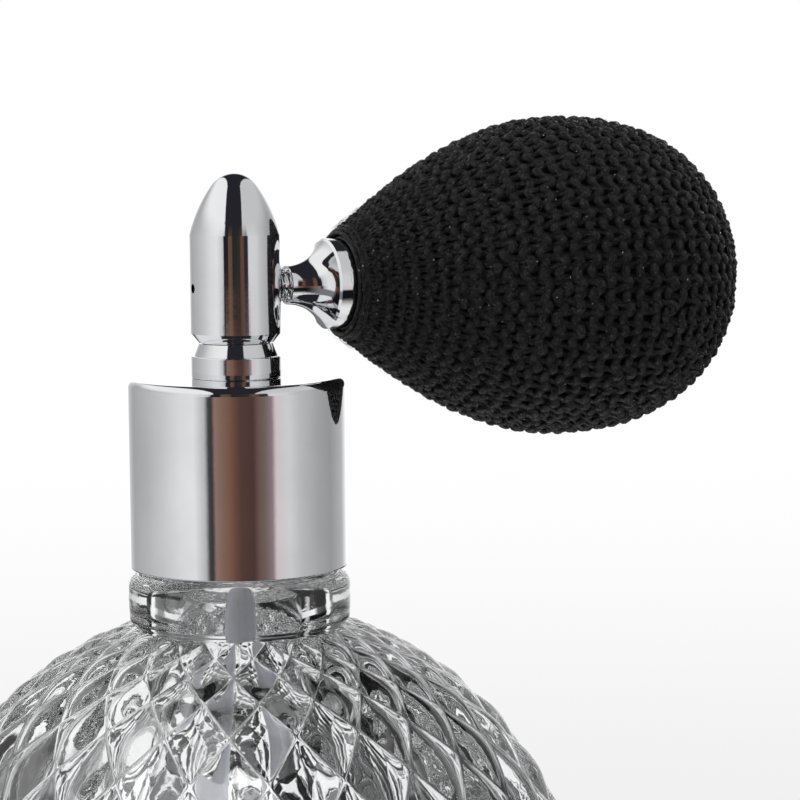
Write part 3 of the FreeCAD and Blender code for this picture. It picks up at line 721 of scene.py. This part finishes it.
def knit_course(place, pitch):
    """One course of loops round the bulb."""
    _, r0, _, _ = on_cover(place)
    stitches = stitches_at(place, r0)
    width = 2 * math.pi * max(r0, 0.5) / stitches
    steps = stitches * LOOP_STEPS
    t = np.arange(steps) * 2 * math.pi / LOOP_STEPS
    wobble = np.array([rng.gauss(0, 1) for _ in range(stitches)])
    sway = np.array([rng.gauss(0, 1) for _ in range(stitches)])
    stitch = np.arange(steps) / LOOP_STEPS
    low = np.floor(stitch).astype(int) % stitches
    high = (low + 1) % stitches
    mix = stitch - np.floor(stitch)
    mix = mix * mix * (3 - 2 * mix)
    jog = wobble[low] * (1 - mix) + wobble[high] * mix
    drift = sway[low] * (1 - mix) + sway[high] * mix

    # the loop lies in the surface, out at its head and foot and in at its legs
    height = 0.64 * pitch * (1 + 0.05 * jog)
    s = place + height * np.cos(t) + 0.09 * drift * pitch
    turn = (t + 0.36 * np.sin(2 * t)) / stitches + 0.06 * drift * 2 * math.pi / stitches
    lift = 0.29 * np.cos(2 * t) * min(1.0, width / 2.2) + 0.05 * jog
    x, r, tx, tr = on_cover(s)
    x, r = x - lift * tr, r + lift * tx
    cos, sin = np.cos(turn), np.sin(turn)
    points = np.stack([x, r * cos, r * sin], 1)
    normals = np.stack([-tr, tx * cos, tx * sin], 1)

    yarn = max(min(YARN_WIDTH, 0.48 * width, 0.64 * pitch), YARN_LEAST)
    widths = yarn * (1 + 0.09 * jog) * (1.02 + 0.16 * np.cos(2 * t))
    thick = min(YARN_THICK, yarn * 0.8) * (1 + 0.1 * np.cos(2 * t))
    return yarn_tube(points, widths, thick, normals)


def hem_ring(place, lift, size):
    """A plain round of yarn that finishes the cover's edge on the ferrule."""
    x0, r0, tx, tr = on_cover(place)
    turn = np.arange(HEM_STEPS) * 2 * math.pi / HEM_STEPS
    x = x0 + 0.05 * np.sin(turn * 9 + place * 3) + 0.03 * np.sin(turn * 23 + place) - lift * tr
    r = r0 + lift * tx + 0.04 * np.sin(turn * 31 + place * 5)
    cos, sin = np.cos(turn), np.sin(turn)
    points = np.stack([x, r * cos, r * sin], 1)
    normals = np.stack([0 * turn, cos, sin], 1)
    return yarn_tube(points, np.full(HEM_STEPS, size), np.full(HEM_STEPS, size * 0.8), normals)


def make_knit():
    """The rounds of the hem and the courses, split over the pieces from the hem on."""
    places = course_places()
    pitches = np.diff(places + [places[-1] + COURSE])
    groups = [[] for _ in range(KNIT_PIECES)]
    groups[0] += [hem_ring(place, lift, size) for place, lift, size in HEM_ROUNDS]
    share = math.ceil(len(places) / KNIT_PIECES)
    for index, (place, pitch) in enumerate(zip(places, pitches)):
        groups[index // share].append(knit_course(place, pitch))
    return groups


def merged(parts):
    """One (verts, faces, uv) of many."""
    verts, faces, uv, base = [], [], [], 0
    for part_verts, part_faces, corners in parts:
        verts.append(part_verts)
        faces += [tuple(i + base for i in face) for face in part_faces]
        uv += corners
        base += len(part_verts)
    return np.concatenate(verts), faces, uv


def soft_on_bulb(obj):
    """Rides on the bulb, with a mesh of its own."""
    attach(obj, "bulb")
    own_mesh(obj)


def cover_piece(name, made, look):
    """A mesh object of the cover, which rides on the bulb."""
    verts, faces, uv = made
    piece = mesh_object(name, on_bulb_axis(verts), faces, look, uv)
    soft_on_bulb(piece)
    return piece


soft_on_bulb(rubber)
knit_pieces = [cover_piece(f"knit_courses_{number + 1}", merged(group), YARN)
               for number, group in enumerate(make_knit())]
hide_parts("knit_cover")


# ---- loose fibres, mostly near the neck, and specks of dust

FIBRES, FIBRE_POINTS, FIBRE_SIDES = 900, 6, 3
FLECKS = 380


def cover_point(s, turn, lift):
    x, r, tx, tr = on_cover(s)
    x, r = x - lift * tr, r + lift * tx
    return np.array((x, r * math.cos(turn), r * math.sin(turn)))


def open_strand(points, size, normals):
    """A thin strand along points, closed by a flat face at each end."""
    tangent = np.gradient(points, axis=0)
    tangent /= np.linalg.norm(tangent, axis=1, keepdims=True)
    side = np.cross(tangent, normals)
    side /= np.linalg.norm(side, axis=1, keepdims=True) + 1e-9
    up = np.cross(side, tangent)
    verts, faces, uv = [], [], []
    for i in range(len(points)):
        for k in range(FIBRE_SIDES):
            angle = 2 * math.pi * k / FIBRE_SIDES
            out = math.cos(angle) * side[i] + math.sin(angle) * up[i]
            verts.append(points[i] + out * size[i] / 2)
    for i in range(len(points) - 1):
        low, high = i * FIBRE_SIDES, (i + 1) * FIBRE_SIDES
        for k in range(FIBRE_SIDES):
            m = (k + 1) % FIBRE_SIDES
            faces.append((low + k, low + m, high + m, high + k))
            uv += [(i, 0), (i, 1), (i + 1, 1), (i + 1, 0)]
    last = (len(points) - 1) * FIBRE_SIDES
    faces += [tuple(reversed(range(FIBRE_SIDES))), tuple(last + k for k in range(FIBRE_SIDES))]
    uv += [(0, 0)] * (2 * FIBRE_SIDES)
    return np.array(verts), faces, uv


def make_fibre():
    """A thin curled fibre that lies on the cover and stands up from it a little."""
    s = COVER_LENGTH * rng.random() ** 2.1 * 0.97 + 1.2
    turn = rng.random() * 2 * math.pi
    length = 0.5 + 1.6 * rng.random()
    heading = rng.random() * 2 * math.pi
    curl = rng.gauss(0, 1.1)
    rise = 0.05 + 0.3 * rng.random()
    radius = max(float(np.interp(s, LENGTHS, MERIDIAN_R)), 1.0)
    points = []
    for f in np.linspace(0, 1, FIBRE_POINTS):
        along = length * f * math.cos(heading + curl * f)
        around = length * f * math.sin(heading + curl * f) / radius
        lift = 0.3 + rise * math.sin(f * math.pi * 0.75)
        points.append(cover_point(min(max(s + along, 0.0), COVER_LENGTH), turn + around, lift))
    points = np.array(points)
    normals = points * np.array((0.0, 1.0, 1.0))
    normals /= np.linalg.norm(normals, axis=1, keepdims=True)
    size = np.full(FIBRE_POINTS, 0.016 + 0.012 * rng.random())
    size[-1] *= 0.3
    return open_strand(points, size, normals)


FLECK_CORNERS = ((1, 0, 0), (-1, 0, 0), (0, 1, 0), (0, -1, 0), (0, 0, 1), (0, 0, -1))
FLECK_SIDES = ((0, 2, 4), (2, 1, 4), (1, 3, 4), (3, 0, 4), (2, 0, 5), (1, 2, 5), (3, 1, 5), (0, 3, 5))


def make_fleck():
    """A small irregular fleck of dust that sits on the yarn."""
    place, turn = COVER_LENGTH * rng.random(), rng.random() * 2 * math.pi
    centre = cover_point(place, turn, 0.5 + 0.12 * rng.random())
    size = 0.035 + 0.05 * rng.random() ** 2
    verts = [centre + size * np.array(c) * (0.5 + rng.random()) for c in FLECK_CORNERS]
    return np.array(verts), FLECK_SIDES, [(0.0, 0.0)] * (3 * len(FLECK_SIDES))


cover_piece("loose_fibres", merged([make_fibre() for _ in range(FIBRES)]), FUZZ)
cover_piece("dust_specks", merged([make_fleck() for _ in range(FLECKS)]), DUST)


# ---- stage: pale round table top that fades into the backdrop

FLOOR_RADII = (0.0, 0.1, 0.21)
FLOOR_FADE = (0.07, 0.2)


def make_floor():
    material, tree, shader = new_material("pale_table")
    place = object_space(tree)
    grain = noise(tree, place, 60.0, 3.0)
    colour = blend_colours(tree, grain, (0.83, 0.83, 0.835, 1.0), (0.86, 0.86, 0.862, 1.0))
    tree.links.new(colour, shader.inputs["Base Color"])
    shader.inputs["Roughness"].default_value = 0.55
    length = add_node(tree, "ShaderNodeVectorMath", {0: place}, operation="LENGTH")
    tree.links.new(smooth_map(tree, length.outputs["Value"], *FLOOR_FADE, 1.0, 0.0),
                   shader.inputs["Alpha"])
    verts, faces = lathe_mesh([(radius, 0.0) for radius in FLOOR_RADII], 96)
    return mesh_object("pale_floor", verts, faces, material)


floor = make_floor()
floor.visible_transmission = False


# ---- studio: white sweep for the camera, soft boxes with a dark gap at the camera for the chrome,
# and surroundings of their own for the light that comes through the glass

CAMERA_TURN = math.radians(-25.2)
GAP_TURN = math.radians(6.5)  # the dark gap lies this far to the right of the camera
CHROME_SHARE = 0.86
BLUER = 1.01
STRIP_COLOUR = (0.02, 0.02, 0.026, 1.0)
TABLE_LEFT, TABLE_RIGHT = (0.2, 0.2, 0.21, 1.0), (0.008, 0.008, 0.01, 1.0)
TABLE_EDGE = (0.006, 0.006, 0.007, 1.0)
MATT_FILL = 1.2  # what matt surfaces get on top of the world's own light

# levels and colours by bearing in degrees from the middle of the gap, as the chrome shows them
SIDES = (
    (-180, 1.02), (-172, 1.0), (-163, 0.55), (-145, 0.36), (-116, 0.43), (-90, 0.54), (-66, 0.69),
    (-50, 0.73), (-38, 0.6), (38, 0.62), (52, 0.6), (66, 0.47), (90, 0.35), (111, 0.30),
    (138, 0.44), (156, 0.9), (164, 1.02), (180, 1.02),
)
HEAD_GAP = (
    (-33, 0.5, 0.5, 0.52), (-31, 0.012, 0.012, 0.016), (-21, 0.014, 0.013, 0.018), (-19, 0.13, 0.075, 0.055),
    (-11, 0.10, 0.06, 0.045), (-9, 0.02, 0.017, 0.016), (9, 0.026, 0.027, 0.023), (12, 0.12, 0.06, 0.045),
    (19, 0.10, 0.05, 0.04), (21, 0.02, 0.016, 0.018), (29, 0.03, 0.025, 0.03), (31, 0.6, 0.6, 0.62),
)
CAP_GAP = (
    (-38, 0.45, 0.45, 0.46), (-34, 0.06, 0.06, 0.062), (-30, 0.035, 0.033, 0.035), (-27, 0.25, 0.16, 0.138),
    (-19, 0.20, 0.12, 0.087), (-13, 0.18, 0.097, 0.068), (-6, 0.135, 0.061, 0.045), (0, 0.08, 0.045, 0.034),
    (13, 0.065, 0.038, 0.034), (19, 0.14, 0.084, 0.074), (25, 0.15, 0.112, 0.1), (33, 0.25, 0.18, 0.2),
    (37, 0.6, 0.52, 0.53),
)
# levels by the same bearings for the glass: level with it, just below, and under the table top
THROUGH_LEVEL = (
    (-180, 1.0), (-175, 1.0), (-169, 0.22), (-140, 0.1), (-118, 0.2), (-100, 0.06), (-70, 0.1),
    (-38, 0.22), (-18, 0.008), (18, 0.008), (38, 0.06), (58, 0.03), (72, 0.004), (109, 0.004),
    (113, 0.5), (118, 0.5), (122, 0.004), (170, 0.004), (176, 1.0), (180, 1.0),
)
THROUGH_SILL = (
    (-180, 1.0), (-172, 1.0), (-160, 0.3), (-146, 0.3), (-138, 0.85), (-88, 0.8), (-78, 0.2),
    (-30, 0.15), (30, 0.1), (82, 0.02), (92, 0.75), (104, 0.8), (132, 0.95), (142, 0.1),
    (166, 0.02), (174, 1.0), (180, 1.0),
)
THROUGH_LOW = (
    (-180, 1.0), (-160, 0.9), (-148, 0.2), (-100, 0.1), (-60, 0.16), (-32, 0.5), (32, 0.45),
    (48, 0.02), (90, 0.004), (154, 0.004), (164, 0.9), (180, 1.0),
)


def colour_ramp(tree, place, stripes):
    """Colour by bearing, from (degrees, red, green, blue) in order."""
    ramp = tree.nodes.new("ShaderNodeValToRGB")
    tree.links.new(place, ramp.inputs["Fac"])
    stops = ramp.color_ramp.elements
    for index, (angle, *colour) in enumerate(stripes):
        position = (angle + 180) / 360
        stop = stops[0] if index == 0 else stops.new(position)
        stop.position = position
        stop.color = (*colour, 1.0)
    stops.remove(stops[-1])
    return ramp.outputs["Color"]


def level_stripes(levels):
    return [(angle, level, level, level * BLUER) for angle, level in levels]


def level_ramp(tree, place, levels):
    return colour_ramp(tree, place, level_stripes(levels))


def chrome_ramp(tree, place, gap):
    """Soft grey sides with the gap's stripes between them, raised by what the chrome takes away."""
    edge = max(abs(gap[0][0]), abs(gap[-1][0])) + 1
    sides = level_stripes([(angle, level) for angle, level in SIDES if abs(angle) > edge])
    stripes = [(angle, *(part / CHROME_SHARE for part in colour))
               for angle, *colour in sorted(sides + list(gap))]
    return colour_ramp(tree, place, stripes)


def chrome_surroundings(tree, place, side, up):
    """What the chrome shows; the collar shows bearings just below those that the head shows."""
    level = blend_colours(tree, smooth_map(tree, up, -0.1, -0.06),
                          chrome_ramp(tree, place, CAP_GAP), chrome_ramp(tree, place, HEAD_GAP))
    # overhead: the two soft boxes reach up to a dark strip over the object
    boxes = grey(tree, smooth_map(tree, side, -0.5, 0.5, 0.95, 0.62))
    strip = smooth_map(tree, maths(tree, "ABSOLUTE", side), 0.33, 0.37)
    over = blend_colours(tree, strip, STRIP_COLOUR, boxes)
    seen = blend_colours(tree, smooth_map(tree, up, 0.3, 0.6), level, over)
    # the table top: grey at the left, black at the right
    table = blend_colours(tree, smooth_map(tree, side, -0.45, 0.25), TABLE_LEFT, TABLE_RIGHT)
    return blend_colours(tree, smooth_map(tree, up, -0.26, -0.17), table, seen)


def glass_surroundings(tree, place, side, up):
    """What comes through the glass: white behind, black cloth at the right, grey at the left."""
    high = grey(tree, smooth_map(tree, side, -0.15, 0.3, 0.95, 0.08))
    seen = blend_colours(tree, smooth_map(tree, up, 0.32, 0.5),
                         level_ramp(tree, place, THROUGH_LEVEL), high)
    sill = maths(tree, "SUBTRACT", smooth_map(tree, up, -0.15, -0.125),
                 smooth_map(tree, up, -0.06, -0.035))
    seen = blend_colours(tree, sill, seen, level_ramp(tree, place, THROUGH_SILL))
    below = blend_colours(tree, smooth_map(tree, up, -0.36, -0.3),
                          level_ramp(tree, place, THROUGH_LOW), TABLE_EDGE)
    return blend_colours(tree, smooth_map(tree, up, -0.25, -0.21), below, seen)


def set_world():
    world = bpy.data.worlds.new("studio")
    bpy.context.scene.world = world
    world.use_nodes = True
    tree = world.node_tree
    tree.nodes.clear()
    output = tree.nodes.new("ShaderNodeOutputWorld")
    direction = add_node(tree, "ShaderNodeTexCoord").outputs["Generated"]
    turned = add_node(tree, "ShaderNodeVectorRotate", {"Vector": direction, "Angle": -CAMERA_TURN},
                      rotation_type="Z_AXIS").outputs["Vector"]
    parts = add_node(tree, "ShaderNodeSeparateXYZ", {"Vector": turned})
    side, depth, up = parts.outputs["X"], parts.outputs["Y"], parts.outputs["Z"]
    bearing = maths(tree, "ARCTAN2", side, maths(tree, "MULTIPLY", depth, -1.0))
    bearing = maths(tree, "SUBTRACT", bearing, GAP_TURN)
    place = remap(tree, bearing, -math.pi, math.pi)

    # rays through clear glass, rays after a matt bounce, and the camera's own rays are told apart
    path = add_node(tree, "ShaderNodeLightPath")
    matt = maths(tree, "MINIMUM", path.outputs["Diffuse Depth"], 1.0)
    clear = maths(tree, "MULTIPLY", path.outputs["Is Transmission Ray"],
                  maths(tree, "SUBTRACT", 1.0, matt))
    seen = blend_colours(tree, clear, chrome_surroundings(tree, place, side, up),
                         glass_surroundings(tree, place, side, up))
    backdrop = grey(tree, smooth_map(tree, up, -0.27, -0.12, 0.87, 1.0))
    colour = blend_colours(tree, path.outputs["Is Camera Ray"], seen, backdrop)
    power = maths(tree, "ADD", maths(tree, "MULTIPLY", matt, MATT_FILL), 1.0)
    back = add_node(tree, "ShaderNodeBackground", {"Color": colour, "Strength": power})
    tree.links.new(back.outputs["Background"], output.inputs["Surface"])


SOFTBOX_PLACE, SOFTBOX_TARGET = Vector((-0.25, -0.25, 0.75)), Vector((0.0, 0.0, 0.1))
SOFTBOX_SIDE, SOFTBOX_POWER = 0.5, 3.0


def add_softbox():
    """A square soft light, high at the left in front, that neither the camera nor the chrome sees."""
    light = bpy.data.lights.new("high_softbox", "AREA")
    light.shape = "RECTANGLE"
    light.size = SOFTBOX_SIDE
    light.size_y = SOFTBOX_SIDE
    light.energy = SOFTBOX_POWER
    lamp = bpy.data.objects.new("high_softbox", light)
    bpy.context.scene.collection.objects.link(lamp)
    lamp.location = SOFTBOX_PLACE
    lamp.rotation_euler = (SOFTBOX_TARGET - SOFTBOX_PLACE).to_track_quat("-Z", "Y").to_euler()
    lamp.visible_camera = False
    lamp.visible_glossy = False


CAMERA_PLACE = (-0.1174, -0.2946, 0.1332)
CAMERA_RISE, CAMERA_ROLL = math.radians(6.14), math.radians(-0.45)
LENS, SENSOR_WIDTH = 121.5, 36.0


def set_camera():
    back = Vector((math.sin(CAMERA_TURN) * math.cos(CAMERA_RISE),
                   -math.cos(CAMERA_TURN) * math.cos(CAMERA_RISE), math.sin(CAMERA_RISE)))
    right = Vector((math.cos(CAMERA_TURN), math.sin(CAMERA_TURN), 0))
    up = back.cross(right)
    side = right * math.cos(CAMERA_ROLL) + up * math.sin(CAMERA_ROLL)
    top = up * math.cos(CAMERA_ROLL) - right * math.sin(CAMERA_ROLL)
    turn = Matrix((side, top, back)).transposed()
    data = bpy.data.cameras.new("camera")
    data.lens = LENS
    data.sensor_width = SENSOR_WIDTH
    data.clip_start = 0.01
    camera = bpy.data.objects.new("camera", data)
    camera.matrix_world = Matrix.Translation(CAMERA_PLACE) @ turn.to_4x4()
    bpy.context.scene.collection.objects.link(camera)
    bpy.context.scene.camera = camera


set_world()
add_softbox()
set_camera()
scene = bpy.context.scene
scene.view_settings.view_transform = "Standard"
scene.cycles.max_bounces = 24
scene.cycles.transmission_bounces = 20
scene.cycles.glossy_bounces = 8
scene.cycles.transparent_max_bounces = 12
